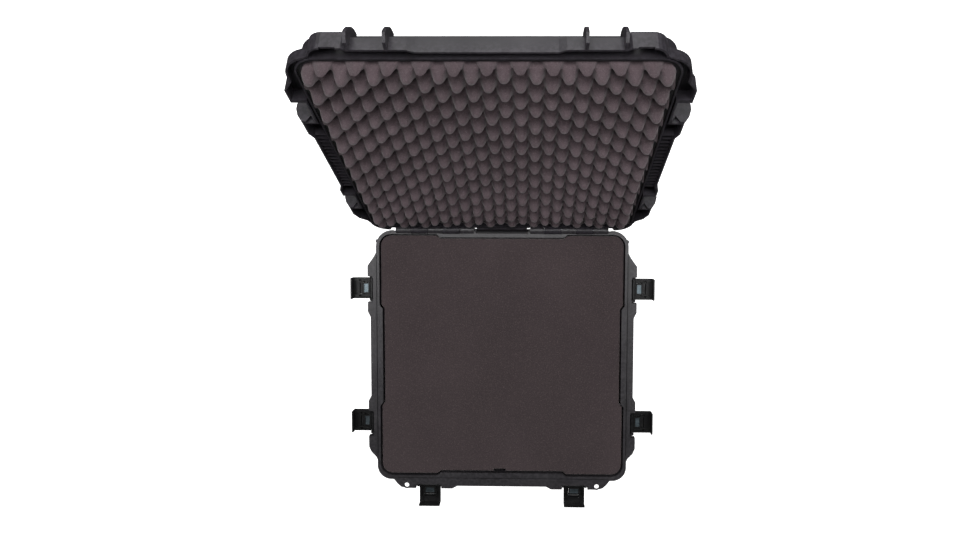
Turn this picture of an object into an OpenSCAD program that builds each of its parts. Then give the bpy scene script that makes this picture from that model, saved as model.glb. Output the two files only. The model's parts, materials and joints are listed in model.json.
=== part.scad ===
// Square hard equipment case, 22 x 22 x 12 inch class, shown open.
// Origin: centre of the base's underside. +X right, +Y towards the hinge, +Z up. Millimetres.
// "Parting face" is the flat face where base and lid meet; heights named _h are above it.

/* [Shell] */
// Height of the base, from its underside to the parting face
base_h = 262; // [240:1:300]
// Height of the lid, from the parting face to its top
lid_h = 56; // [56:1:62]
// Angle of the lid past closed
lid_open = 117.4; // [95:0.1:117.4]
// Half width of the walls at the corners, outside
wall_half = 292.5; // [292:0.1:292.5]
// Thickness of the walls
wall_t = 4; // [3.5:0.1:4]
// Corner radius of the walls, in plan
wall_r = 32; // [31:1:33]
// Radius along the edges of the base's underside and of the lid's top
edge_r = 14; // [12:1:16]

/* [Rim] */
// Half width over the middle of the left and right flanges
side_edge = 310.5; // [310:0.5:311]
// Distance from the centre to the middle of the front flange
front_edge = 315; // [314.5:0.5:315.5]
// Distance from the centre to the rear edge, between the hinges
rear_edge = 290.5; // [290:0.5:291]
// Half width over the corner zones
corner_edge = 296.7; // [296.5:0.1:297]
// How far the latch zones stand out past the middle of the side flanges
latch_zone_out = 6.5; // [6:0.5:7]
// Half width over the middle of the lid's left and right flanges
lid_side_edge = 322.5; // [321:0.5:324]
// Half width over the lid's latch zones
lid_latch_edge = 329; // [328:0.5:330]
// Distance from the centre to the middle of the lid's front flange
lid_front_edge = 312; // [311.5:0.5:312.5]
// Depth of the skirt on the base's flange
base_skirt = 14; // [12:0.5:14]
// Depth of the skirt on the lid's flange
lid_skirt = 28.5; // [28:0.1:28.5]
// Thickness of the skirts and flanges
skirt_t = 3.5; // [3:0.1:3.5]
// Height of the raised seal bead on the base
bead_h = 2.5; // [2:0.1:2.6]

/* [Latches] */
// Distance of the front latches from the middle
front_latch_x = 175; // [174.5:0.5:175.5]
// Distance of the side latches from the middle, towards the front
side_front_y = 164; // [163.5:0.5:164.5]
// Distance of the side latches from the middle, towards the hinge
side_rear_y = 158; // [157.5:0.5:158.5]
// Width of a latch lever
lever_w = 50; // [48:0.5:50]
// Length of a latch lever, from its pivot to its end
lever_l = 48.5; // [48:0.1:49]
// Depth of the latch pivots below the parting face
latch_drop = 21; // [21:0.1:21.2]
// Radius of the latch pins
latch_pin_r = 2; // [1.5:0.1:2.2]

/* [Fins] */
// Thickness of the guard fins beside each latch
fin_t = 5; // [4:0.5:5]

/* [Hinge] */
// Distance from the centre to the hinge axis
hinge_y = 298.7; // [298.5:0.1:299]
// Radius of the hinge knuckles
knuckle_r = 8.8; // [8.5:0.1:8.9]
// Radius of the hinge pins
hinge_pin_r = 3; // [2.5:0.1:3.5]

/* [Handles] */
// Depth of the handle pivots below the parting face
handle_drop = 48; // [46:1:52]
// Length of a handle, from its pivot to its grip
handle_l = 54; // [50:1:58]
// Radius of a handle's rubber grip
grip_r = 10.5; // [9.5:0.5:11]

/* [Foam] */
// Thickness of the top foam layer in the base
foam_top_t = 50; // [40:1:60]
// Thickness of the bottom foam layer in the base
foam_bottom_t = 51; // [40:1:60]
// Gap between foam and walls
foam_gap = 2.9; // [2.5:0.1:3.2]

/* [Hidden] */
$fn = 48;

fit = 0.05;            // running clearance, on the radius
over = 1;              // how far cutters pass through a face
panel_step = 7;        // how far the middle of each wall is set in
panel_half = [112, 145, 112, 145];   // half length of the set-in panels: right, rear, left, front
panel_ramp = 9;        // length of the slope beside a set-in panel
latch_edge = side_edge + latch_zone_out;
front_zone_edge = front_edge + latch_zone_out;
slot_half = 30.5;      // half width of the cut-out in the flange at each latch
slot_front = 311;      // the inner edges of the cut-outs
slot_side = 304.5;
pivot_front = 320.5;   // distance of the latch pivots from the centre
pivot_side = 311.8;
front_corner_r = 33;   // corner radii of the base's flange
rear_corner_r = 38;
ear_x = 227;           // the padlock ears
ear_y = 313.5;
ear_r = 8.2;
ear_t = 3;
padlock_r = 5.5;
bead_out = 294;        // outside half width of the seal bead
bead_r = 33.5;
rim_groove = 2.2;      // width of the groove outside the bead
rim_groove_d = 2.5;
groove_out = 294.5;    // the lid's seal groove
groove_in = 290;
groove_d = 10;
gasket_from = 2.6;     // face of the gasket, above the parting face
land_out = 297.5;      // the wall outside the seal groove
land_d = 3;            // how far the lid's inner rim is set back
channel_d = 21;        // depth of the channel under the lid's flange
front_skirt = 24.5;    // depth of the lid's skirt at the front latches
corner_skirt = 31;     // and round the front corners
shoulder_skirt = 19;   // and beside them
front_corner_x = 208;  // where the front corners and the shoulders begin
front_corner_y = 270;
shoulder_x = 269.5;
shoulder_y = 243;
base_knuckles = [[66, 98], [140, 172], [214, 248]];
lid_knuckles = [[99, 139], [173, 213]];
knuckle_gap = 0.7;     // radial room around a knuckle
hinge_from_x = 62;     // the hinge blocks behind the rear wall
hinge_end_x = 249;
rear_out = 293.5;      // the rear edges beside the hinges
lid_rear_edge = 297.5; // and the lid's, between them
lid_rear_x = 57;
corner_peg_x = 293.5;   // small pegs on the rear corners
corner_peg_y = 272;
lid_peg_x = 299;
lid_peg_y = 260;
ear_in = lever_w / 2 + 0.6;   // the latch pin ears, across the latch
ear_w = 4.4;
lever_t = 11;          // the lever's outer face, from its pivot axis
lever_skin = 3;
hook_t = 3.8;
hook_gap = 0.5;
hook_rise = 14;
ledge_h = lever_l - latch_drop - hook_t - hook_gap;   // what a latch hooks over, above the parting face
barrel_r = 5;
window_half = 13;      // the trigger's window in the lever
window_from = 7;
window_to = 34;
window_h = -6.1;       // the window's end is closed above this height
pocket_to = 31;        // end of the pocket between the cheeks
step_half = 17;        // the shallow step beyond it
step_h = -4.6;
trigger_gap = 0.4;
trigger_end_gap = 1.6; // more room at the end that swings inward
trigger_pin_y = 26;    // the trigger pin, from the lever's pivot axis
trigger_pin_z = -5;
trigger_pin_r = 1.5;
cheek_t = 4;
leaf_half = 10.4;      // the leaf spring behind the trigger
leaf_from = 9.5;
leaf_to = 20;
leaf_t = 0.8;
leaf_z = -3.4;
handle_half = 58;      // half length of the handle's grip
arm_t = 6.5;
bar_r = 6;
handle_pin_r = 2.5;
handle_out = 299;      // distance of the handle pivots from the centre
lug_t = 7;
valve_x = 108;
valve_drop = 62;
foam_top_h = -3;       // top of the base's foam
foam_r = 25;

// The six latches: front left and right, left front and rear, right front and rear.
latch_side = [3, 3, 2, 2, 0, 0];
latch_along = [-front_latch_x, front_latch_x, -side_front_y, side_rear_y, -side_front_y, side_rear_y];
latch_out = [pivot_front, pivot_front, pivot_side, pivot_side, pivot_side, pivot_side];

// ---------- outlines ----------

function arc(cx, cy, r, from, to, n) =
    [for (i = [0:n]) let (a = from + (to - from) * i / n) [cx + r * cos(a), cy + r * sin(a)]];
function flipped(points) = [for (i = [len(points) - 1:-1:0]) [-points[i].x, points[i].y]];

// A latch cut-out on an edge that runs along +Y, at distance x, down to distance deep, inset by g.
function slot_points(x, deep, at, g) =
    [[x - g, at - slot_half - g], [deep - g, at - slot_half - g],
     [deep - g, at + slot_half + g], [x - g, at + slot_half + g]];

// Right half of the base's flange, from the front middle round to the rear middle, inset by g.
function base_half(g) = concat(
    [[0, g - front_edge], [106, g - front_edge], [118, g - front_zone_edge]],
    [for (p = slot_points(front_zone_edge, slot_front, front_latch_x, g)) [p.y, -p.x]],
    [[ear_x - 12, g - front_zone_edge + 0.5], [ear_x, g - ear_y - ear_r + 0.3],
     [ear_x + 14 - g, g - 318], [ear_x + 22.3 - g, g - 310.5], [ear_x + 31, g - 299.5]],
    arc(corner_edge - front_corner_r, -266.5, front_corner_r - g, -84, -4, 10),
    [[corner_edge - g, -252], [300 - g, -245], [311.5 - g, -233], [latch_edge - g, -221]],
    slot_points(latch_edge, slot_side, -side_front_y, g),
    [[latch_edge - g, -109], [side_edge - g, -97], [side_edge - g, 92], [latch_edge - g, 105]],
    slot_points(latch_edge, slot_side, side_rear_y, g),
    [[latch_edge - g, 214], [303 - g, 233.5], [corner_edge - g, 245]],
    arc(corner_edge - rear_corner_r, 259.5, rear_corner_r - g, 4, 90, 12),
    [[hinge_end_x - 2, rear_out - g], [0, rear_out - g]]);

// The same for the lid's flange, which is wider at the sides.
function lid_half(g) = concat(
    [[0, g - lid_front_edge], [106, g - lid_front_edge], [118, g - lid_front_edge - 5],
     [206, g - lid_front_edge - 5], [213, g - lid_front_edge - 8.5]],
    arc(245, -296, 24.5 - g, -90, -14, 6),
    arc(270, -256, 43 - g, -74, -4, 8),
    [[313.5 - g, -shoulder_y], [lid_latch_edge - g, -222]],
    slot_points(lid_latch_edge, slot_side, -side_front_y, g),
    [[lid_latch_edge - g, -99], [lid_side_edge - g, -86], [lid_side_edge - g, 92],
     [lid_latch_edge - g, 107]],
    slot_points(lid_latch_edge, slot_side, side_rear_y, g),
    [[lid_latch_edge - g, 218], [320 - g, 238], [304 - g, 251]],
    arc(262, 260, 38 - g, 4, 90, 10),
    [[hinge_end_x + 9, rear_out - g], [lid_rear_x + 2, rear_out - g], [lid_rear_x, lid_rear_edge - g],
     [0, lid_rear_edge - g]]);

module both_halves(half) {
    polygon(concat(half, flipped(half)));
}
module base_outline(g = 0) {
    both_halves(base_half(g));
    for (sx = [-1, 1]) translate([sx * ear_x, -ear_y]) circle(ear_r - g);
}
module lid_outline(g = 0) {
    both_halves(lid_half(g));
}
// A square with round corners, its four sides set in by step over their middle panels.
module ring(half, r, step = 0) {
    difference() {
        union() {
            square([2 * half, 2 * (half - r)], center = true);
            square([2 * (half - r), 2 * half], center = true);
            for (sx = [-1, 1], sy = [-1, 1]) translate([sx * (half - r), sy * (half - r)]) circle(r);
        }
        if (step > 0) for (k = [0:3]) rotate(90 * k)
            polygon([[half - step, -panel_half[k]], [half + over, -panel_half[k] - panel_ramp - over],
                     [half + over, panel_half[k] + panel_ramp + over], [half - step, panel_half[k]]]);
    }
}

// ---------- shared solids ----------

// A quarter disc, for the rounded edges.
module quarter(r) {
    intersection() {
        circle(r);
        square(r);
    }
}

// A square slab with its corners rounded in plan and its upper edge rounded.
module rounded_slab(half, r, edge) {
    straight = 2 * (half - r);
    linear_extrude(edge) union() {
        square([2 * (half - edge), straight], center = true);
        square([straight, 2 * (half - edge)], center = true);
    }
    for (k = [0:3]) rotate([0, 0, 90 * k]) {
        translate([half - edge, straight / 2, 0]) rotate([90, 0, 0]) linear_extrude(straight) quarter(edge);
        translate([half - r, half - r, 0]) rotate_extrude(angle = 90) union() {
            square([r - edge, edge]);
            translate([r - edge, 0]) quarter(edge);
        }
    }
}

// A closed box of that plan, standing on its rounded edge at z = 0.
module tub(half, r, edge, height) {
    translate([0, 0, edge]) mirror([0, 0, 1]) rounded_slab(half, r, edge);
    translate([0, 0, edge]) linear_extrude(height - edge) ring(half, r);
}

module bar_x(from, to, r) {
    translate([from, 0, 0]) rotate([0, 90, 0]) cylinder(h = to - from, r = r);
}

// Places a child, drawn with +Y outward and its origin on the parting face, at a side of the case.
// which: 0 right, 1 rear, 2 left, 3 front.
module at_side(which, along, out) {
    turn = [-90, 0, 90, 180][which];
    shift = [[out, along], [along, out], [-out, along], [along, -out]][which];
    translate([shift.x, shift.y, base_h]) rotate([0, 0, turn]) children();
}

module at_latch(i) {
    at_side(latch_side[i], latch_along[i], latch_out[i]) translate([0, 0, -latch_drop]) children();
}
module at_handle(i) {
    at_side([3, 2, 0][i], 0, handle_out) translate([0, 0, -handle_drop]) children();
}

// The lid is drawn closed in the case's own place, then swung open about the hinge.
module swing_lid() {
    translate([0, hinge_y, base_h]) rotate([-lid_open, 0, 0]) translate([0, -hinge_y, -base_h]) children();
}

// ---------- base ----------

module base_walls() {
    difference() {
        tub(wall_half, wall_r, edge_r, base_h);
        translate([0, 0, wall_t]) difference() {
            tub(wall_half - wall_t, wall_r - wall_t, edge_r - wall_t, base_h);
            for (k = [0:3]) rotate([0, 0, 90 * k])
                translate([wall_half - wall_t - panel_step, -panel_half[k], 0])
                    cube([panel_step + over, 2 * panel_half[k], base_h + over]);
        }
        for (k = [0:3]) rotate([0, 0, 90 * k])
            translate([wall_half - panel_step, -panel_half[k] + wall_t, 2 * edge_r])
                cube([panel_step + over, 2 * (panel_half[k] - wall_t), base_h - 2 * edge_r - base_skirt]);
    }
}

module base_flange() {
    difference() {
        translate([0, 0, base_h - skirt_t - 1]) linear_extrude(skirt_t + 1) difference() {
            base_outline();
            ring(wall_half - 1, wall_r - 1, panel_step);
        }
        // groove outside the seal bead, along the sides and the front
        translate([0, 0, base_h - rim_groove_d]) linear_extrude(rim_groove_d + over) intersection() {
            difference() {
                ring(bead_out + rim_groove, bead_r + rim_groove);
                ring(bead_out, bead_r);
            }
            union() {
                square([2 * bead_out + 20, 2 * 238], center = true);
                translate([0, -bead_out]) square([2 * 250, 20], center = true);
            }
        }
    }
    translate([0, 0, base_h - base_skirt]) linear_extrude(base_skirt - skirt_t) difference() {
        base_outline();
        base_outline(skirt_t);
    }
    translate([0, 0, base_h - 1]) linear_extrude(bead_h + 1) difference() {
        ring(bead_out, bead_r);
        ring(wall_half - wall_t, wall_r - wall_t, panel_step);
    }
}

// Distance from the centre to a wall's outer face at a place along it.
function along_wall(side, along) = wall_half - (abs(along) < panel_half[side] ? panel_step : 0);

// Webs under the flange, one ring of them between the latches.
module base_webs() {
    for (k = [0, 2, 3]) rotate([0, 0, 90 * k])
        for (along = [-72, 72, -122, 122, -205, 205])
            if (abs(along) < 200 || k != 3)
                translate([along_wall(k, along) - 1, along - 1.5, base_h - base_skirt])
                    cube([side_edge - 2 - along_wall(k, along), 3, base_skirt - skirt_t]);
}

module latch_ear(back) {
    rotate([90, 0, 90]) linear_extrude(ear_w) union() {
        circle(barrel_r + 0.5);
        polygon([[back, 17], [-5, 17], [barrel_r + 0.5, 0], [0, -barrel_r - 0.5], [-8, -22],
                 [-12, -70], [back, -78]]);
    }
}

module latch_ears(i) {
    at_latch(i) for (sx = [-1, 1]) scale([sx, 1, 1]) translate([ear_in, 0, 0])
        latch_ear(wall_half - 3 - latch_out[i]);
}

// Trapezium block behind the rear wall that carries the base's knuckles.
module base_hinge(sx) {
    scale([sx, 1, 1]) difference() {
        union() {
            translate([0, 0, base_h - 30]) linear_extrude(30)
                polygon([[hinge_from_x, wall_half - 1], [hinge_end_x + 6, wall_half - 1], [hinge_end_x, 297],
                         [hinge_end_x - 2, hinge_y + knuckle_r - 1], [hinge_from_x + 8, hinge_y + knuckle_r - 1],
                         [hinge_from_x, 297]]);
            for (k = base_knuckles) translate([0, hinge_y, base_h]) bar_x(k[0], k[1], knuckle_r);
        }
        for (k = lid_knuckles) translate([k[0] - 0.5, wall_half, base_h - 30 - over])
            cube([k[1] - k[0] + 1, 30, 32 + over]);
        translate([0, hinge_y, base_h]) bar_x(60, 252, hinge_pin_r);
    }
}

module handle_lugs(i) {
    at_handle(i) for (sx = [-1, 1]) scale([sx, 1, 1])
        translate([handle_half + arm_t + 0.8, 0, 0]) rotate([90, 0, 90]) linear_extrude(lug_t) union() {
            circle(7);
            polygon([[-handle_out + wall_half - panel_step - 2, 12], [0, 7], [0, -7],
                     [-handle_out + wall_half - panel_step - 2, -20]]);
        }
}

// Upright ribs on the corners, between the underside's rounding and the flange.
module corner_ribs() {
    for (k = [0:3]) rotate([0, 0, 90 * k]) for (along = [-244, -230, -216, 216, 230, 244])
        translate([wall_half - 1, along - 2.5, 2 * edge_r])
            cube([5, 5, base_h - 2 * edge_r - skirt_t - 1]);
}

// Grooves in the underside that take the ribs on the lid of a case below.
module stacking_grooves() {
    for (k = [0:3]) rotate([0, 0, 90 * k]) translate([205, -120, -over]) cube([14, 240, 3 + over]);
}

module base_shell() {
    color("#4a4a4e") difference() {
        union() {
            base_walls();
            base_flange();
            base_webs();
            corner_ribs();
            for (sx = [-1, 1]) base_hinge(sx);
            for (i = [0:5]) latch_ears(i);
            for (i = [0:2]) handle_lugs(i);
            for (sx = [-1, 1]) translate([sx * corner_peg_x, corner_peg_y, base_h - 12])
                cylinder(h = 10, r = 4.5);
        }
        stacking_grooves();
        translate([0.5 - hinge_from_x, rear_edge, base_h - base_skirt - 1])
            cube([2 * hinge_from_x - 1, 20, base_skirt + bead_h + 2 * over]);
        for (sx = [-1, 1]) {
            translate([sx * ear_x, -ear_y, base_h - ear_t - over])
                cylinder(h = ear_t + 2 * over, r = padlock_r);
            translate([sx * ear_x, -ear_y, base_h - base_skirt - 1])
                cylinder(h = base_skirt + 1 - ear_t, r = ear_r + 3);
            for (k = lid_knuckles) scale([sx, 1, 1]) translate([0, hinge_y, base_h])
                bar_x(k[0] - 0.5, k[1] + 0.5, knuckle_r + knuckle_gap);
        }
        for (i = [0:5]) at_latch(i) bar_x(-ear_in - ear_w - over, ear_in + ear_w + over, latch_pin_r);
        for (i = [0:2]) at_handle(i) bar_x(-80, 80, handle_pin_r);
        at_side(3, -valve_x, wall_half - panel_step) translate([0, 1, -valve_drop])
            rotate([90, 0, 0]) cylinder(h = 6, r = 7);
    }
}

module hinge_pins() {
    color("silver") for (sx = [-1, 1]) scale([sx, 1, 1]) translate([0, hinge_y, base_h])
        bar_x(66.5, 247.5, hinge_pin_r);
}
module latch_pins() {
    color("silver") for (i = [0:5]) at_latch(i) bar_x(-ear_in - ear_w, ear_in + ear_w, latch_pin_r);
}
module handle_pins() {
    color("silver") for (i = [0:2]) at_handle(i) for (sx = [-1, 1]) scale([sx, 1, 1])
        bar_x(handle_half + 0.5, handle_half + arm_t + 0.8 + lug_t, handle_pin_r);
}

// ---------- pressure valve ----------

module at_valve() {
    at_side(3, -valve_x, wall_half - panel_step)
        translate([0, 0, -valve_drop]) rotate([-90, 0, 0]) children();
}
module valve_body() {
    color("#333336") at_valve() {
        cylinder(h = 4, r = 13);
        translate([0, 0, -wall_t]) cylinder(h = wall_t, r = 7);
    }
}
module valve_cap() {
    color("#222224") at_valve() translate([0, 0, 4]) difference() {
        cylinder(h = 4, r = 10);
        for (a = [0:60:300]) rotate([0, 0, a]) translate([8, -1.5, 1.5]) cube([3, 3, 3]);
    }
}

// ---------- foam in the base ----------

module foam_sheet(from, to) {
    translate([0, 0, from]) linear_extrude(to - from)
        ring(wall_half - wall_t - foam_gap, foam_r, panel_step);
}
module foam_bottom_layer() {
    color("#3e383a") foam_sheet(wall_t + edge_r, wall_t + edge_r + foam_bottom_t);
}
module foam_middle_layer() {
    color("#3e383a") foam_sheet(wall_t + edge_r + foam_bottom_t, base_h + foam_top_h - foam_top_t);
}
module foam_top_layer() {
    color("#3e383a") difference() {
        foam_sheet(base_h + foam_top_h - foam_top_t, base_h + foam_top_h);
        translate([-19, -wall_half, base_h + foam_top_h - 30])
            cube([28, wall_t + panel_step + foam_gap + 5, 30 + over]);
    }
}

// ---------- lid ----------

// A guard fin's outline: x is the distance from the case's centre, y the height above the parting face.
module fin_outline(front, leading) {
    if (front) difference() {
        translate([283, -8]) circle(61.3);
        translate([200, -80]) square([160, 80]);
        translate([200, -80]) square([91, 160]);
        polygon([[331, -1], [360, -1], [360, 30], [343, 14]]);
    } else if (leading) difference() {
        polygon([[291, 0], [329, 0], [338, 13], [342, 26], [342, 36], [337, 47], [326, 54], [291, 55]]);
        polygon([[slot_side, -1], [314, 12.5], [321.5, -1]]);
    } else polygon([[291, 0], [329, 0], [330.5, 6], [330.5, 19], [327, 38], [315, 50], [291, 54]]);
}
module lid_fins() {
    for (i = [0:5], sx = [-1, 1]) translate([0, 0, -base_h]) at_side(latch_side[i], latch_along[i], 0)
        translate([sx > 0 ? lever_w / 2 + 1 : -lever_w / 2 - 1 - fin_t, 0, 0]) rotate([90, 0, 90])
            linear_extrude(fin_t) fin_outline(i < 2, sx * (latch_side[i] - 1) > 0);
}

// Parts of the lid's flange: the front corners, where its skirt is deepest, inset by g, and the
// shoulders beside them, where it is shallowest, grown by g.
module front_corners(g = 0) {
    for (sx = [-1, 1]) scale([sx, 1]) translate([front_corner_x + g, -340])
        square([shoulder_x - front_corner_x - 2 * g, 340 - front_corner_y - g]);
}
module shoulders(g = 0) {
    for (sx = [-1, 1]) scale([sx, 1]) translate([shoulder_x - g, -340]) square([60, 340 - shoulder_y + g]);
}
module lid_hollow() {
    difference() {
        lid_outline(skirt_t);
        ring(land_out, bead_r + 3.5);
    }
}

module lid_flange() {
    difference() {
        union() {
            linear_extrude(shoulder_skirt) lid_outline();
            linear_extrude(front_skirt) difference() {
                lid_outline();
                shoulders();
            }
            linear_extrude(lid_skirt) difference() {
                intersection() {
                    lid_outline();
                    translate([-340, -lid_front_edge]) square([680, 680]);
                }
                shoulders();
            }
            linear_extrude(corner_skirt) intersection() {
                lid_outline();
                front_corners();
            }
            lid_fins();
        }
        // hollow between the skirt and the walls, under the flange's top
        translate([0, 0, -over]) linear_extrude(shoulder_skirt - skirt_t + over) lid_hollow();
        linear_extrude(channel_d) difference() {
            lid_hollow();
            shoulders(skirt_t);
        }
        linear_extrude(corner_skirt - skirt_t) intersection() {
            lid_hollow();
            front_corners(skirt_t);
        }
        // ledges the latches hook over
        for (i = [0:5]) translate([0, 0, -base_h]) at_side(latch_side[i], latch_along[i], wall_half + 1.5)
            translate([-lever_w / 2 - 0.6, 0, ledge_h]) cube([lever_w + 1.2, 60, lid_h]);
        translate([0, 0, -over]) linear_extrude(lid_h) ring(wall_half - wall_t, wall_r - wall_t);
    }
}

// Cross ribs in the channels under the lid's side flanges.
module channel_ribs() {
    for (k = [0, 2]) rotate([0, 0, 90 * k]) for (i = [-8:8])
        translate([land_out - 1, i * 11.5 - 0.8, 3])
            cube([lid_side_edge - skirt_t - land_out + 2, 1.6, channel_d - 2]);
}

// The gasket, which fills its groove; along the hinge only its inner part runs through.
module gasket_ring() {
    difference() {
        translate([0, 0, gasket_from]) linear_extrude(groove_d - gasket_from) difference() {
            ring(groove_out, bead_r + 0.5);
            ring(groove_in, bead_r - 4);
            translate([-hinge_end_x - 8, wall_half - 0.7]) square([2 * hinge_end_x + 16, 20]);
        }
        for (sx = [-1, 1]) scale([sx, 1, 1]) translate([0, hinge_y, 0])
            bar_x(base_knuckles[0][0] - 6, base_knuckles[2][1] + 6, knuckle_r + knuckle_gap);
    }
}

module lid_dome() {
    difference() {
        union() {
            linear_extrude(lid_h - edge_r) ring(wall_half, wall_r);
            translate([0, 0, lid_h - edge_r]) rounded_slab(wall_half, wall_r, edge_r);
            for (k = [0:3]) rotate([0, 0, 90 * k]) translate([206, -119, lid_h - 1]) cube([12, 238, 3.5]);
        }
        translate([0, 0, -over]) linear_extrude(lid_h - edge_r + over)
            ring(wall_half - wall_t, wall_r - wall_t);
        translate([0, 0, lid_h - edge_r]) rounded_slab(wall_half - wall_t, wall_r - wall_t, edge_r - wall_t);
    }
}

module lid_hinge(sx) {
    scale([sx, 1, 1]) for (k = lid_knuckles) translate([k[0], hinge_y, 0]) rotate([90, 0, 90])
        linear_extrude(k[1] - k[0]) union() {
            circle(knuckle_r);
            polygon([[knuckle_r, 0], [knuckle_r - 1, 8], [-2, 22], [-hinge_y + wall_half - 1, 22],
                     [-hinge_y + wall_half - 1, 6], [-knuckle_r, 0.5]]);
        }
}

module lid_closed() {
    difference() {
        union() {
            difference() {
                union() {
                    lid_flange();
                    lid_dome();
                    channel_ribs();
                }
                translate([0, 0, -over]) linear_extrude(land_d + over) ring(groove_out, bead_r + 0.5);
            }
            for (sx = [-1, 1]) lid_hinge(sx);
            for (sx = [-1, 1]) translate([sx * lid_peg_x, lid_peg_y, 2]) cylinder(h = 10, r = 4.5);
        }
        gasket_ring();
        for (sx = [-1, 1]) scale([sx, 1, 1]) translate([0, hinge_y, 0]) {
            for (k = base_knuckles) bar_x(k[0] - 0.5, k[1] + 0.5, knuckle_r + knuckle_gap);
            bar_x(60, 252, hinge_pin_r + fit);
        }
        for (sx = [-1, 1]) scale([sx, 1, 1]) {
            translate([ear_x, -ear_y, corner_skirt - skirt_t - over])
                cylinder(h = skirt_t + 2 * over, r = padlock_r);
            translate([ear_x - 6, -ear_y - ear_r - over, -over]) cube([24, 6 + over, 2.5 + over]);
        }
    }
}
module lid_shell() {
    color("#55525a") swing_lid() translate([0, 0, base_h]) lid_closed();
}
module lid_gasket() {
    color("#111112") swing_lid() translate([0, 0, base_h]) gasket_ring();
}
module lid_foam() {
    color("#5a5054") swing_lid() translate([0, 0, base_h + 3.5])
        linear_extrude(lid_h - wall_t - edge_r + 2.5) ring(wall_half - wall_t - 0.7, wall_r - wall_t - 1);
}

// ---------- latches ----------

// Side view of a lever's cheek, drawn with x along the lever and y towards the case when closed.
module lever_profile() {
    circle(barrel_r);
    polygon([[0, -barrel_r], [window_from, -lever_t], [lever_l - 1, -lever_t], [lever_l, 0],
             [lever_l, hook_rise - 1], [lever_l - 1, hook_rise], [lever_l - hook_t, hook_rise],
             [lever_l - hook_t, 0], [0, 0]]);
}

module latch() {
    inner = lever_w / 2 - cheek_t;
    pocket_from = barrel_r + 1.5;
    color("#1c1c1e") difference() {
        translate([-lever_w / 2, 0, 0]) rotate([90, 0, 90]) linear_extrude(lever_w) lever_profile();
        // pocket between the cheeks, the step near the hook and the trigger's window
        translate([-inner, pocket_from, -lever_t + lever_skin])
            cube([2 * inner, pocket_to - pocket_from, 30]);
        translate([-step_half, pocket_to - 0.1, step_h])
            cube([2 * step_half, lever_l - hook_t - pocket_to + 0.1, 30]);
        translate([-window_half, window_from, -lever_t - over])
            cube([2 * window_half, window_to - window_from, lever_t + over + window_h]);
        bar_x(-lever_w, lever_w, latch_pin_r + fit);
    }
    // short walls that carry the trigger pin
    color("#1c1c1e") for (sx = [-1, 1]) scale([sx, 1, 1]) difference() {
        translate([window_half, trigger_pin_y - 5, -lever_t + 1]) cube([3, 10, lever_t - 1]);
        translate([0, trigger_pin_y, trigger_pin_z]) bar_x(0, lever_w, trigger_pin_r);
    }
}

module trigger() {
    half = window_half - trigger_gap;
    color("#161618") difference() {
        union() {
            translate([-half, window_from + trigger_gap, -lever_t])
                cube([2 * half, window_to - window_from - trigger_gap - trigger_end_gap, lever_skin]);
            translate([0, trigger_pin_y, trigger_pin_z]) bar_x(-half, half, 3.5);
            // frame round the leaf spring
            for (sx = [-1, 1]) scale([sx, 1, 1]) translate([leaf_half, window_from + trigger_gap, -lever_t])
                cube([half - leaf_half, 16.5, lever_t - 1]);
            translate([-half, window_from + trigger_gap, -lever_t]) cube([2 * half, 1.8, lever_t - 1]);
            translate([-half, leaf_to, -lever_t]) cube([2 * half, 3, lever_t - 1]);
        }
        translate([0, trigger_pin_y, trigger_pin_z]) bar_x(-lever_w, lever_w, trigger_pin_r + fit);
    }
}

module trigger_pin() {
    color("silver") translate([0, trigger_pin_y, trigger_pin_z])
        bar_x(-window_half - 2.8, window_half + 2.8, trigger_pin_r);
}

// A bent steel leaf: a flat face in the trigger's frame and a tail that bears on its floor.
module trigger_spring() {
    color("#8fa3ad") translate([-leaf_half, 0, 0]) rotate([90, 0, 90]) linear_extrude(2 * leaf_half)
        polygon([[leaf_from, leaf_z], [leaf_to, leaf_z], [leaf_to, -lever_t + lever_skin],
                 [leaf_to - leaf_t, -lever_t + lever_skin], [leaf_to - leaf_t, leaf_z - leaf_t],
                 [leaf_from, leaf_z - leaf_t]]);
}

module latch_front_left() { at_latch(0) latch(); }
module latch_front_right() { at_latch(1) latch(); }
module latch_left_front() { at_latch(2) latch(); }
module latch_left_rear() { at_latch(3) latch(); }
module latch_right_front() { at_latch(4) latch(); }
module latch_right_rear() { at_latch(5) latch(); }
module trigger_front_left() { at_latch(0) trigger(); }
module trigger_front_right() { at_latch(1) trigger(); }
module trigger_left_front() { at_latch(2) trigger(); }
module trigger_left_rear() { at_latch(3) trigger(); }
module trigger_right_front() { at_latch(4) trigger(); }
module trigger_right_rear() { at_latch(5) trigger(); }
module trigger_pin_front_left() { at_latch(0) trigger_pin(); }
module trigger_pin_front_right() { at_latch(1) trigger_pin(); }
module trigger_pin_left_front() { at_latch(2) trigger_pin(); }
module trigger_pin_left_rear() { at_latch(3) trigger_pin(); }
module trigger_pin_right_front() { at_latch(4) trigger_pin(); }
module trigger_pin_right_rear() { at_latch(5) trigger_pin(); }
module trigger_spring_front_left() { at_latch(0) trigger_spring(); }
module trigger_spring_front_right() { at_latch(1) trigger_spring(); }
module trigger_spring_left_front() { at_latch(2) trigger_spring(); }
module trigger_spring_left_rear() { at_latch(3) trigger_spring(); }
module trigger_spring_right_front() { at_latch(4) trigger_spring(); }
module trigger_spring_right_rear() { at_latch(5) trigger_spring(); }

// ---------- handles ----------

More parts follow.
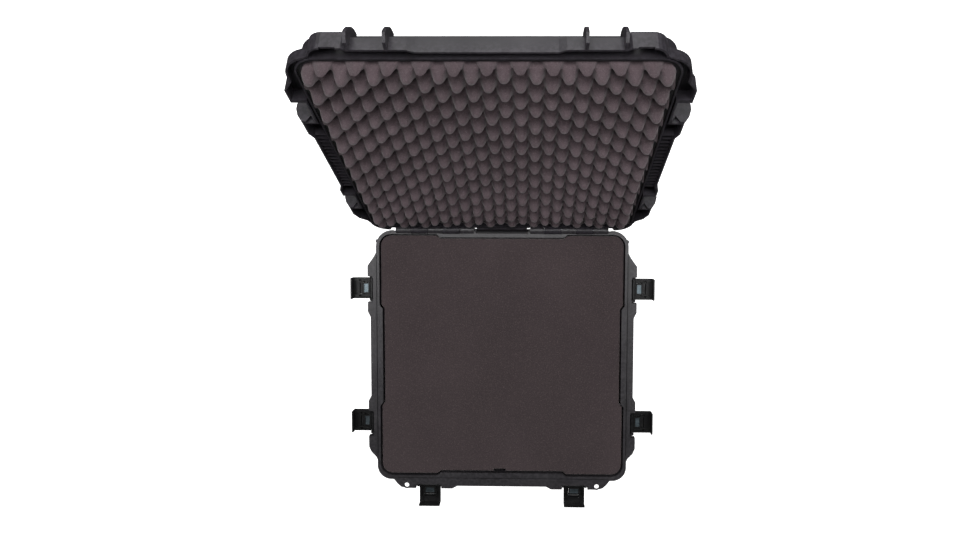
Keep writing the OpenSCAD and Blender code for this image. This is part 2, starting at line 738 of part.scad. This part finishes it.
module handle() {
    color("#2a2a2d") difference() {
        union() {
            for (sx = [-1, 1]) scale([sx, 1, 1]) translate([handle_half, 0, 0]) rotate([90, 0, 90])
                linear_extrude(arm_t) union() {
                    circle(6.5);
                    translate([-6.5, -handle_l]) square([13, handle_l]);
                    translate([0, -handle_l]) circle(grip_r);
                }
            translate([0, 0, -handle_l]) bar_x(-handle_half - 1, handle_half + 1, bar_r);
        }
        for (sx = [-1, 1]) scale([sx, 1, 1])
            bar_x(handle_half - 1, handle_half + arm_t + 1, handle_pin_r + fit);
    }
}
module grip() {
    color("#1a1a1a") difference() {
        translate([0, 0, -handle_l]) bar_x(-handle_half, handle_half, grip_r);
        translate([0, 0, -handle_l]) bar_x(-handle_half - 1, handle_half + 1, bar_r);
    }
}
module handle_front() { at_handle(0) handle(); }
module handle_left() { at_handle(1) handle(); }
module handle_right() { at_handle(2) handle(); }
module grip_front() { at_handle(0) grip(); }
module grip_left() { at_handle(1) grip(); }
module grip_right() { at_handle(2) grip(); }

base_shell();
lid_shell();
lid_gasket();
hinge_pins();
latch_pins();
handle_pins();
foam_bottom_layer();
foam_middle_layer();
foam_top_layer();
lid_foam();
valve_body();
valve_cap();
handle_front();
handle_left();
handle_right();
grip_front();
grip_left();
grip_right();
latch_front_left();
latch_front_right();
latch_left_front();
latch_left_rear();
latch_right_front();
latch_right_rear();
trigger_front_left();
trigger_front_right();
trigger_left_front();
trigger_left_rear();
trigger_right_front();
trigger_right_rear();
trigger_pin_front_left();
trigger_pin_front_right();
trigger_pin_left_front();
trigger_pin_left_rear();
trigger_pin_right_front();
trigger_pin_right_rear();
trigger_spring_front_left();
trigger_spring_front_right();
trigger_spring_left_front();
trigger_spring_left_rear();
trigger_spring_right_front();
trigger_spring_right_rear();
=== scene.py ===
import json
import math

import bmesh
import bpy
from mathutils import Euler, Matrix, Vector, noise


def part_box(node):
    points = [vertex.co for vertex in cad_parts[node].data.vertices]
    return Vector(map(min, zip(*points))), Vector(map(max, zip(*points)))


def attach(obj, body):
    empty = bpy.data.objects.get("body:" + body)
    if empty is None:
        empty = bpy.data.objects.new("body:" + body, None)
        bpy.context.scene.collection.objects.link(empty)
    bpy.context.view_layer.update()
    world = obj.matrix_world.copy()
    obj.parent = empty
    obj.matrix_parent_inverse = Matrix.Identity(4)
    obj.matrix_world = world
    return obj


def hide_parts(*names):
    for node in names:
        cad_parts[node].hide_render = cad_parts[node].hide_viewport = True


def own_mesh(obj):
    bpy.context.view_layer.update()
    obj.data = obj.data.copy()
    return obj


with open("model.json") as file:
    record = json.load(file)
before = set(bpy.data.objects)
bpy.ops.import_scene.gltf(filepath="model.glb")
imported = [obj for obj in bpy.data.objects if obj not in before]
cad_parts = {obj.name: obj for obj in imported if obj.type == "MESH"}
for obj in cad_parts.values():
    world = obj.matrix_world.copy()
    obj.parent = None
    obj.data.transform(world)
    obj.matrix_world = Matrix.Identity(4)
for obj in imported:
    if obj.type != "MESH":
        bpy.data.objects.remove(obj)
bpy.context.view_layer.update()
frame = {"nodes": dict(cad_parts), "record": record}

NODES = frame["nodes"]

# ---------------------------------------------------------------- places, in metres
HINGE = next(j for j in frame["record"]["behaviour"]["joints"] if j["name"] == "lid_hinge")
HINGE_AT = Vector(HINGE["pos_m"])
OPEN = math.radians(HINGE["range_deg"][1])
PARTING = HINGE_AT.z            # height of the face where base and lid meet


def lid_point(x, y, up):
    """A point given with the lid closed, up from the parting face, moved to the open lid."""
    return HINGE_AT + Matrix.Rotation(-OPEN, 3, "X") @ (Vector((x, y, PARTING + up)) - HINGE_AT)


# ---------------------------------------------------------------- camera
cam_data = bpy.data.cameras.new("camera")
cam_data.sensor_width = 36.0
cam_data.lens = 23.294
cam_data.shift_x = -0.03204
cam_data.shift_y = -0.03572
cam_data.clip_end = 30
camera = bpy.data.objects.new("camera", cam_data)
camera.location = (0.06383, 0.35612, 1.74154)
camera.rotation_euler = Euler((-0.05432, 0.01425, 0.00342), "XYZ")
bpy.context.collection.objects.link(camera)
bpy.context.scene.camera = camera
bpy.context.scene.view_settings.view_transform = "Standard"


# ---------------------------------------------------------------- material helpers
class Nodes:
    """Short names for building a shader."""

    def __init__(self, name):
        self.material = bpy.data.materials.new(name)
        self.material.use_nodes = True
        self.tree = self.material.node_tree
        self.shader = self.tree.nodes["Principled BSDF"]
        self.coords = self.add("ShaderNodeTexCoord").outputs["Object"]

    def add(self, kind, **values):
        node = self.tree.nodes.new(kind)
        for key, value in values.items():
            setattr(node, key, value)
        return node

    def link(self, a, b):
        self.tree.links.new(a, b)

    def noise(self, scale, detail=3.0, rough=0.55, stretch=None):
        node = self.add("ShaderNodeTexNoise")
        node.inputs["Scale"].default_value = scale
        node.inputs["Detail"].default_value = detail
        node.inputs["Roughness"].default_value = rough
        source = self.coords
        if stretch:
            mapping = self.add("ShaderNodeMapping")
            mapping.inputs["Scale"].default_value = stretch
            self.link(source, mapping.inputs["Vector"])
            source = mapping.outputs["Vector"]
        self.link(source, node.inputs["Vector"])
        return node.outputs["Fac"]

    def voronoi(self, scale, feature="F1"):
        node = self.add("ShaderNodeTexVoronoi", feature=feature)
        node.inputs["Scale"].default_value = scale
        self.link(self.coords, node.inputs["Vector"])
        return node.outputs["Distance"]

    def ramp(self, source, stops):
        """stops: [(position, colour or grey), ...]"""
        node = self.add("ShaderNodeValToRGB")
        elements = node.color_ramp.elements
        while len(elements) < len(stops):
            elements.new(0.5)
        for element, (at, value) in zip(elements, stops):
            element.position = at
            element.color = (value, value, value, 1) if isinstance(value, float) else (*value, 1)
        self.link(source, node.inputs["Fac"])
        return node.outputs["Color"]

    def mix(self, factor, a, b, blend="MIX"):
        node = self.add("ShaderNodeMix", data_type="RGBA", blend_type=blend)
        sockets = {"Factor": factor, "A": a, "B": b}
        for socket in node.inputs:
            value = sockets.get(socket.name)
            if value is None or socket.type != ("VALUE" if socket.name == "Factor" else "RGBA"):
                continue
            if isinstance(value, (float, int)):
                socket.default_value = value
            elif isinstance(value, tuple):
                socket.default_value = (*value, 1)
            else:
                self.link(value, socket)
        return next(o for o in node.outputs if o.type == "RGBA")

    def maths(self, operation, a, b):
        node = self.add("ShaderNodeMath", operation=operation)
        for socket, value in zip(node.inputs, (a, b)):
            if isinstance(value, (float, int)):
                socket.default_value = value
            else:
                self.link(value, socket)
        return node.outputs["Value"]

    def bump(self, height, strength, distance, normal=None):
        node = self.add("ShaderNodeBump")
        node.inputs["Strength"].default_value = strength
        node.inputs["Distance"].default_value = distance
        self.link(height, node.inputs["Height"])
        if normal is not None:
            self.link(normal, node.inputs["Normal"])
        return node.outputs["Normal"]

    def finish(self, colour, rough, normal=None, metallic=0.0, specular=0.5):
        self.shader.inputs["Metallic"].default_value = metallic
        self.shader.inputs["Specular IOR Level"].default_value = specular
        for socket, value in (("Base Color", colour), ("Roughness", rough), ("Normal", normal)):
            if value is None:
                continue
            if isinstance(value, float):
                self.shader.inputs[socket].default_value = value
            else:
                self.link(value, self.shader.inputs[socket])
        return self.material


def moulded_plastic(name, dark, light, rough, grain=0.00012, specular=0.3):
    """Moulded plastic: faint mottling, a fine pebbled skin and paler rubbed edges."""
    n = Nodes(name)
    mottling = n.noise(9.0, 4.0)
    colour = n.mix(n.ramp(mottling, [(0.35, 0.0), (0.7, 1.0)]), dark, light)
    edge = n.add("ShaderNodeNewGeometry").outputs["Pointiness"]
    worn = n.ramp(edge, [(0.505, 0.0), (0.56, 1.0)])
    scuffs = n.ramp(n.noise(160.0, 2.0), [(0.42, 0.0), (0.62, 1.0)])
    rubbed = tuple(c * 1.9 for c in light)
    colour = n.mix(n.maths("MULTIPLY", n.maths("MULTIPLY", worn, scuffs), 0.55), colour, rubbed)
    low = max(rough - 0.07, 0.05)
    roughness = n.ramp(n.noise(24.0, 5.0), [(0.3, low), (0.7, rough + 0.07)])
    normal = n.bump(n.noise(900.0, 2.0), 0.35, grain)
    normal = n.bump(n.noise(14.0, 2.0), 0.12, 0.0012, normal)
    return n.finish(colour, roughness, normal, specular=specular)


def foam_material(name, dark, mid, pale, cell, depth, speckle, painted_crease_shade=False):
    """Open-cell foam: fine pits with painted shade inside them, pale cell walls, slow changes of tone and,
    if wanted, painted shade in the creases between the peaks.
    """
    n = Nodes(name)
    pits = n.voronoi(cell)
    fine = n.noise(cell * 0.9, 2.0, 0.7)
    tone = n.mix(n.ramp(n.noise(6.0, 3.0), [(0.3, 0.0), (0.75, 1.0)]), dark, mid)
    flecks = n.ramp(n.noise(cell * 0.55, 2.0, 0.8), [(0.52, 0.0), (0.68, 1.0)])
    colour = n.mix(n.maths("MULTIPLY", flecks, speckle), tone, pale)
    # painted shade: the colour is darkened inside the pits, where the bump sinks
    colour = n.mix(n.ramp(pits, [(0.0, 0.75), (0.45, 0.0)]), colour, tuple(c * 0.45 for c in dark))
    if painted_crease_shade:
        # painted shade: the hollows between the peaks are darkened by their stored peak share, where shade
        # falls
        height = n.add("ShaderNodeAttribute", attribute_name="peak").outputs["Fac"]
        colour = n.mix(n.ramp(height, [(0.0, 1.0), (0.34, 0.0)]), colour, tuple(c * 0.12 for c in dark))
    normal = n.bump(pits, 0.6, depth)
    normal = n.bump(fine, 0.5, depth * 0.6, normal)
    n.shader.inputs["Sheen Weight"].default_value = 0.15
    n.shader.inputs["Sheen Roughness"].default_value = 0.6
    return n.finish(colour, 0.95, normal, specular=0.15)


def steel_material(name, dark, light, rough):
    """Drawn or stamped steel with fine lines along X and a little tarnish."""
    n = Nodes(name)
    lines = n.noise(60.0, 4.0, 0.6, (1.0, 14.0, 14.0))
    tarnish = n.noise(70.0, 4.0)
    colour = n.mix(n.ramp(tarnish, [(0.35, 0.0), (0.7, 1.0)]), dark, light)
    roughness = n.ramp(lines, [(0.3, rough - 0.08), (0.7, rough + 0.12)])
    return n.finish(colour, roughness, n.bump(lines, 0.2, 0.00015), metallic=1.0)


def rubber_material(name, dark, light):
    n = Nodes(name)
    colour = n.mix(n.ramp(n.noise(40.0, 4.0), [(0.35, 0.0), (0.7, 1.0)]), dark, light)
    normal = n.bump(n.noise(700.0, 3.0), 0.4, 0.0002)
    return n.finish(colour, n.ramp(n.noise(50.0, 3.0), [(0.3, 0.62), (0.7, 0.8)]), normal, specular=0.4)


base_plastic = moulded_plastic("base_plastic", (0.017, 0.0157, 0.0178), (0.025, 0.023, 0.026), 0.38,
                               specular=0.55)
lid_plastic = moulded_plastic("lid_plastic", (0.0145, 0.0132, 0.0158), (0.022, 0.0198, 0.024), 0.36)
latch_plastic = moulded_plastic("latch_plastic", (0.005, 0.005, 0.0053), (0.008, 0.008, 0.0083), 0.34)
trigger_plastic = moulded_plastic("trigger_plastic", (0.006, 0.006, 0.0063), (0.009, 0.009, 0.0094), 0.34)
handle_plastic = moulded_plastic("handle_plastic", (0.011, 0.011, 0.012), (0.017, 0.017, 0.018), 0.45)
valve_plastic = moulded_plastic("valve_plastic", (0.012, 0.012, 0.0125), (0.018, 0.018, 0.019), 0.4)
grip_rubber = rubber_material("grip_rubber", (0.008, 0.008, 0.008), (0.013, 0.013, 0.013))
gasket_rubber = rubber_material("gasket_rubber", (0.006, 0.006, 0.006), (0.01, 0.01, 0.01))
pin_steel = steel_material("pin_steel", (0.5, 0.5, 0.52), (0.68, 0.68, 0.7), 0.3)
leaf_steel = steel_material("leaf_steel", (0.1, 0.12, 0.13), (0.2, 0.25, 0.28), 0.34)
base_foam = foam_material("base_foam", (0.037, 0.027, 0.029), (0.048, 0.035, 0.0375), (0.115, 0.088, 0.086),
                          640.0, 0.0004, 0.42)
lid_foam = foam_material("lid_foam", (0.06, 0.0435, 0.0485), (0.083, 0.061, 0.068), (0.15, 0.118, 0.128),
                         560.0, 0.0004, 0.3, painted_crease_shade=True)

BY_SLOT = {"base_plastic": base_plastic, "lid_plastic": lid_plastic, "latch_plastic": latch_plastic,
           "trigger_plastic": trigger_plastic, "handle_plastic": handle_plastic,
           "valve_plastic": valve_plastic, "grip_rubber": grip_rubber, "gasket_rubber": gasket_rubber,
           "steel": pin_steel, "leaf_spring": leaf_steel, "base_foam": base_foam, "lid_foam": lid_foam}

for part in frame["record"]["subparts"]:
    node = NODES[part["node"]]
    node.data.materials.clear()
    node.data.materials.append(BY_SLOT[part["material_slot"]])


# ---------------------------------------------------------------- meshes
def new_piece(name, mesh, material, body):
    piece = bpy.data.objects.new(name, mesh)
    bpy.context.collection.objects.link(piece)
    mesh.materials.append(material)
    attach(piece, body)
    return piece


def foam_outline(notch=None):
    """Points round the base's foam, anticlockwise: round corners, and sides set in over the panels."""
    points = []
    inner = FOAM_HALF - PANEL_STEP
    centre = FOAM_HALF - FOAM_R
    for side, span in enumerate(PANEL_HALF):
        run = [(FOAM_HALF, -span - PANEL_RAMP), (inner, -span)]
        if notch and side == FRONT:
            left, right, deep = notch
            run += [(inner, left), (inner - deep, left), (inner - deep, right), (inner, right)]
        run += [(inner, span), (FOAM_HALF, span + PANEL_RAMP)]
        for i in range(CORNER_STEPS + 1):
            a = math.pi / 2 * i / CORNER_STEPS
            run.append((centre + FOAM_R * math.cos(a), centre + FOAM_R * math.sin(a)))
        turn = math.pi / 2 * side
        for x, y in run:
            points.append(Vector((x * math.cos(turn) - y * math.sin(turn),
                                  x * math.sin(turn) + y * math.cos(turn))))
    return points


def inset(points, by):
    """The outline moved inwards by that much, corner by corner."""
    moved = []
    for i, p in enumerate(points):
        before, after = points[i - 1], points[(i + 1) % len(points)]
        d1, d2 = (p - before).normalized(), (after - p).normalized()
        n1, n2 = Vector((-d1.y, d1.x)), Vector((-d2.y, d2.x))
        bisector = (n1 + n2).normalized()
        moved.append(p + bisector * (by / max(bisector.dot(n1), 0.4)))
    return moved


def foam_block(name, node, outline):
    """A cut sheet of foam with softened edges."""
    low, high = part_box(node)
    profile = [(0.0, low.z + FOAM_EDGE), (0.0, high.z - FOAM_EDGE)]
    for i in range(1, EDGE_STEPS + 1):
        a = math.pi / 2 * i / EDGE_STEPS
        profile.append((FOAM_EDGE * (1 - math.cos(a)), high.z - FOAM_EDGE + FOAM_EDGE * math.sin(a)))
    bm = bmesh.new()
    rings = [[bm.verts.new((*p, low.z)) for p in inset(outline, FOAM_EDGE)]]
    for by, z in profile:
        rings.append([bm.verts.new((*p, z)) for p in (inset(outline, by) if by else outline)])
    for a, b in zip(rings, rings[1:]):
        for i in range(len(a)):
            j = (i + 1) % len(a)
            bm.faces.new((a[i], a[j], b[j], b[i]))
    bm.faces.new(rings[0][::-1])
    bm.faces.new(rings[-1])
    mesh = bpy.data.meshes.new(name)
    bm.to_mesh(mesh)
    bm.free()
    piece = new_piece(name, mesh, base_foam, "base")
    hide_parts(node)


PANEL_HALF = (0.112, 0.145, 0.112, 0.145)   # half lengths of the set-in panels: right, rear, left, front
FRONT = 3
PANEL_STEP = 0.007
PANEL_RAMP = 0.009
FOAM_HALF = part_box("foam_middle_layer")[1].x
FOAM_R = 0.025
FOAM_EDGE = 0.002
FINGER_SLOT = (-0.019, 0.009, 0.005)        # its two ends along the front, and its depth
CORNER_STEPS = 10
EDGE_STEPS = 4

foam_block("base_foam_bottom", "foam_bottom_layer", foam_outline())
foam_block("base_foam_middle", "foam_middle_layer", foam_outline())
foam_block("base_foam_top", "foam_top_layer", foam_outline(FINGER_SLOT))

# The lid's convoluted foam: a sheet with staggered peaks, dished towards its middle.
PITCH_X = 0.0496
PITCH_Y = 0.0485
PEAK_X = -0.0003
PEAK_Y = -0.2905
SHEET_HALF = 0.2875
SHEET_REAR = 0.277              # the sheet stops short of the hinge side
SHEET_R = 0.028
TIP = -0.024
VALLEY = 0.0145
SHARPEN = 1.1
DISH = 0.016
REAR_BAND = 0.05                # where the peaks shorten towards the hinge side
SHORTEN = 0.45
WOBBLE = 0.1                    # how unevenly the peaks stand, as a share of their height
WOBBLE_SCALE = 14
WOBBLE_SEED = 3.1
SIDES_UP = (0.024, 0.034)       # loops round the sheet's sides, between its face and its back
BACK = 0.044
STEP = 0.0025
SIDE_SHARE = 0.3                # tone of the sheet's sides in the painted crease shade, as a share of a peak


def peak_share(x, y):
    """How far up a peak a point of the lid foam's face is, from 0 in a hollow to 1 at a tip."""
    u = 2 * math.pi * (x - PEAK_X) / PITCH_X
    v = 2 * math.pi * (y - PEAK_Y) / PITCH_Y
    wobble = noise.noise(Vector((x * WOBBLE_SCALE, y * WOBBLE_SCALE, WOBBLE_SEED))) * WOBBLE
    t = 0.5 + 0.5 * math.cos(u) * math.cos(v)
    t = (t * t * (3 - 2 * t)) ** SHARPEN * (1 + wobble)
    return t * (1 - SHORTEN * min(max((y - SHEET_REAR) / REAR_BAND + 1, 0), 1))


def face_height(x, y):
    """Height of the lid foam's face above the parting face: peaks reach TIP, hollows reach VALLEY."""
    dish = DISH * (1 - (x / SHEET_HALF) ** 2) * (1 - (y / SHEET_HALF) ** 2)
    return VALLEY + (TIP - VALLEY) * peak_share(x, y) + dish


def round_corner(x, y):
    """A point of the sheet's square grid, drawn in where the sheet's corner is round."""
    end = SHEET_HALF if y < 0 else SHEET_REAR
    past_x = abs(x) - (SHEET_HALF - SHEET_R)
    past_y = abs(y) - (end - SHEET_R)
    if past_x <= 0 or past_y <= 0:
        return x, y
    k = max(past_x, past_y) / math.hypot(past_x, past_y)
    return (math.copysign(SHEET_HALF - SHEET_R + past_x * k, x),
            math.copysign(end - SHEET_R + past_y * k, y))


def lid_foam_piece():
    bm = bmesh.new()
    count = int(round(2 * SHEET_HALF / STEP))
    grid = {}
    plan = {}
    shares = []
    for i in range(count + 1):
        for j in range(count + 1):
            x, y = round_corner(-SHEET_HALF + 2 * SHEET_HALF * i / count,
                                -SHEET_HALF + (SHEET_HALF + SHEET_REAR) * j / count)
            plan[i, j] = (x, y)
            grid[i, j] = bm.verts.new(lid_point(x, y, face_height(x, y)))
            shares.append(peak_share(x, y))
    for i in range(count):
        for j in range(count):
            bm.faces.new((grid[i, j], grid[i, j + 1], grid[i + 1, j + 1], grid[i + 1, j]))
    border = ([(i, 0) for i in range(count)] + [(count, j) for j in range(count)]
              + [(i, count) for i in range(count, 0, -1)] + [(0, j) for j in range(count, 0, -1)])
    previous = [grid[k] for k in border]
    for up in (*SIDES_UP, BACK):
        level = [bm.verts.new(lid_point(*plan[k], up)) for k in border]
        for k in range(len(border)):
            m = (k + 1) % len(border)
            bm.faces.new((previous[k], previous[m], level[m], level[k]))
        previous = level
    bm.faces.new(previous)
    bmesh.ops.recalc_face_normals(bm, faces=bm.faces)
    for face in bm.faces:
        face.smooth = True
    mesh = bpy.data.meshes.new("lid_egg_foam")
    bm.to_mesh(mesh)
    bm.free()
    # the peak share is stored to drive the painted crease shade of the lid foam
    peak = mesh.attributes.new("peak", "FLOAT", "POINT")
    for i in range(len(mesh.vertices)):
        peak.data[i].value = shares[i] if i < len(shares) else SIDE_SHARE
    piece = new_piece("lid_egg_foam", mesh, lid_foam, "lid")
    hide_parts("lid_foam")
    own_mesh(piece)


lid_foam_piece()

# ---------------------------------------------------------------- edges of the hard parts
SHELL_BEVEL = 0.0012
SMALL_BEVEL = 0.0006

for part in frame["record"]["subparts"]:
    node = NODES[part["node"]]
    if node.hide_render:
        continue
    bevel = node.modifiers.new("edges", "BEVEL")
    bevel.width = SHELL_BEVEL if part["node"].endswith("_shell") else SMALL_BEVEL
    bevel.segments = 2
    bevel.limit_method = "ANGLE"
    bevel.angle_limit = math.radians(40)
    bevel.use_clamp_overlap = True

# ---------------------------------------------------------------- floor and light
FLOOR_HALF = 6
FLOOR_Z = -0.0005
floor_mesh = bpy.data.meshes.new("floor")
floor_corners = [(x * FLOOR_HALF, y * FLOOR_HALF, FLOOR_Z) for x, y in ((-1, -1), (1, -1), (1, 1), (-1, 1))]
floor_mesh.from_pydata(floor_corners, [], [(0, 1, 2, 3)])
floor = bpy.data.objects.new("floor", floor_mesh)
bpy.context.collection.objects.link(floor)
floor_material = Nodes("floor")
floor_material.shader.inputs["Emission Color"].default_value = (1, 1, 1, 1)
floor_material.shader.inputs["Emission Strength"].default_value = 1.0
floor_mesh.materials.append(floor_material.finish(
    floor_material.ramp(floor_material.noise(1.5), [(0.3, 0.93), (0.7, 0.95)]), 0.9, specular=0.1))
floor.visible_glossy = False

world = bpy.data.worlds.new("studio")
bpy.context.scene.world = world
world.use_nodes = True
world.node_tree.nodes["Background"].inputs["Color"].default_value = (1, 1, 1, 1)
world.node_tree.nodes["Background"].inputs["Strength"].default_value = 0.045


def area_light(name, at, aim, size, power):
    data = bpy.data.lights.new(name, "AREA")
    data.shape = "RECTANGLE"
    data.size, data.size_y = size
    data.energy = power
    light = bpy.data.objects.new(name, data)
    light.location = at
    light.rotation_euler = (Vector(aim) - Vector(at)).to_track_quat("-Z", "Y").to_euler()
    bpy.context.collection.objects.link(light)


area_light("overhead", (0.0, 0.85, 2.3), (0, 0.3, 0.4), (1.2, 0.8), 27)
area_light("rear", (0.0, 3.2, 1.4), (0, 0.3, 0.6), (3.0, 1.6), 45)
area_light("left", (-1.6, 0.2, 2.4), (-0.1, 0.1, 0.25), (0.8, 1.4), 22)
area_light("right", (1.6, 0.3, 2.4), (0.1, 0.1, 0.25), (0.8, 1.4), 25)
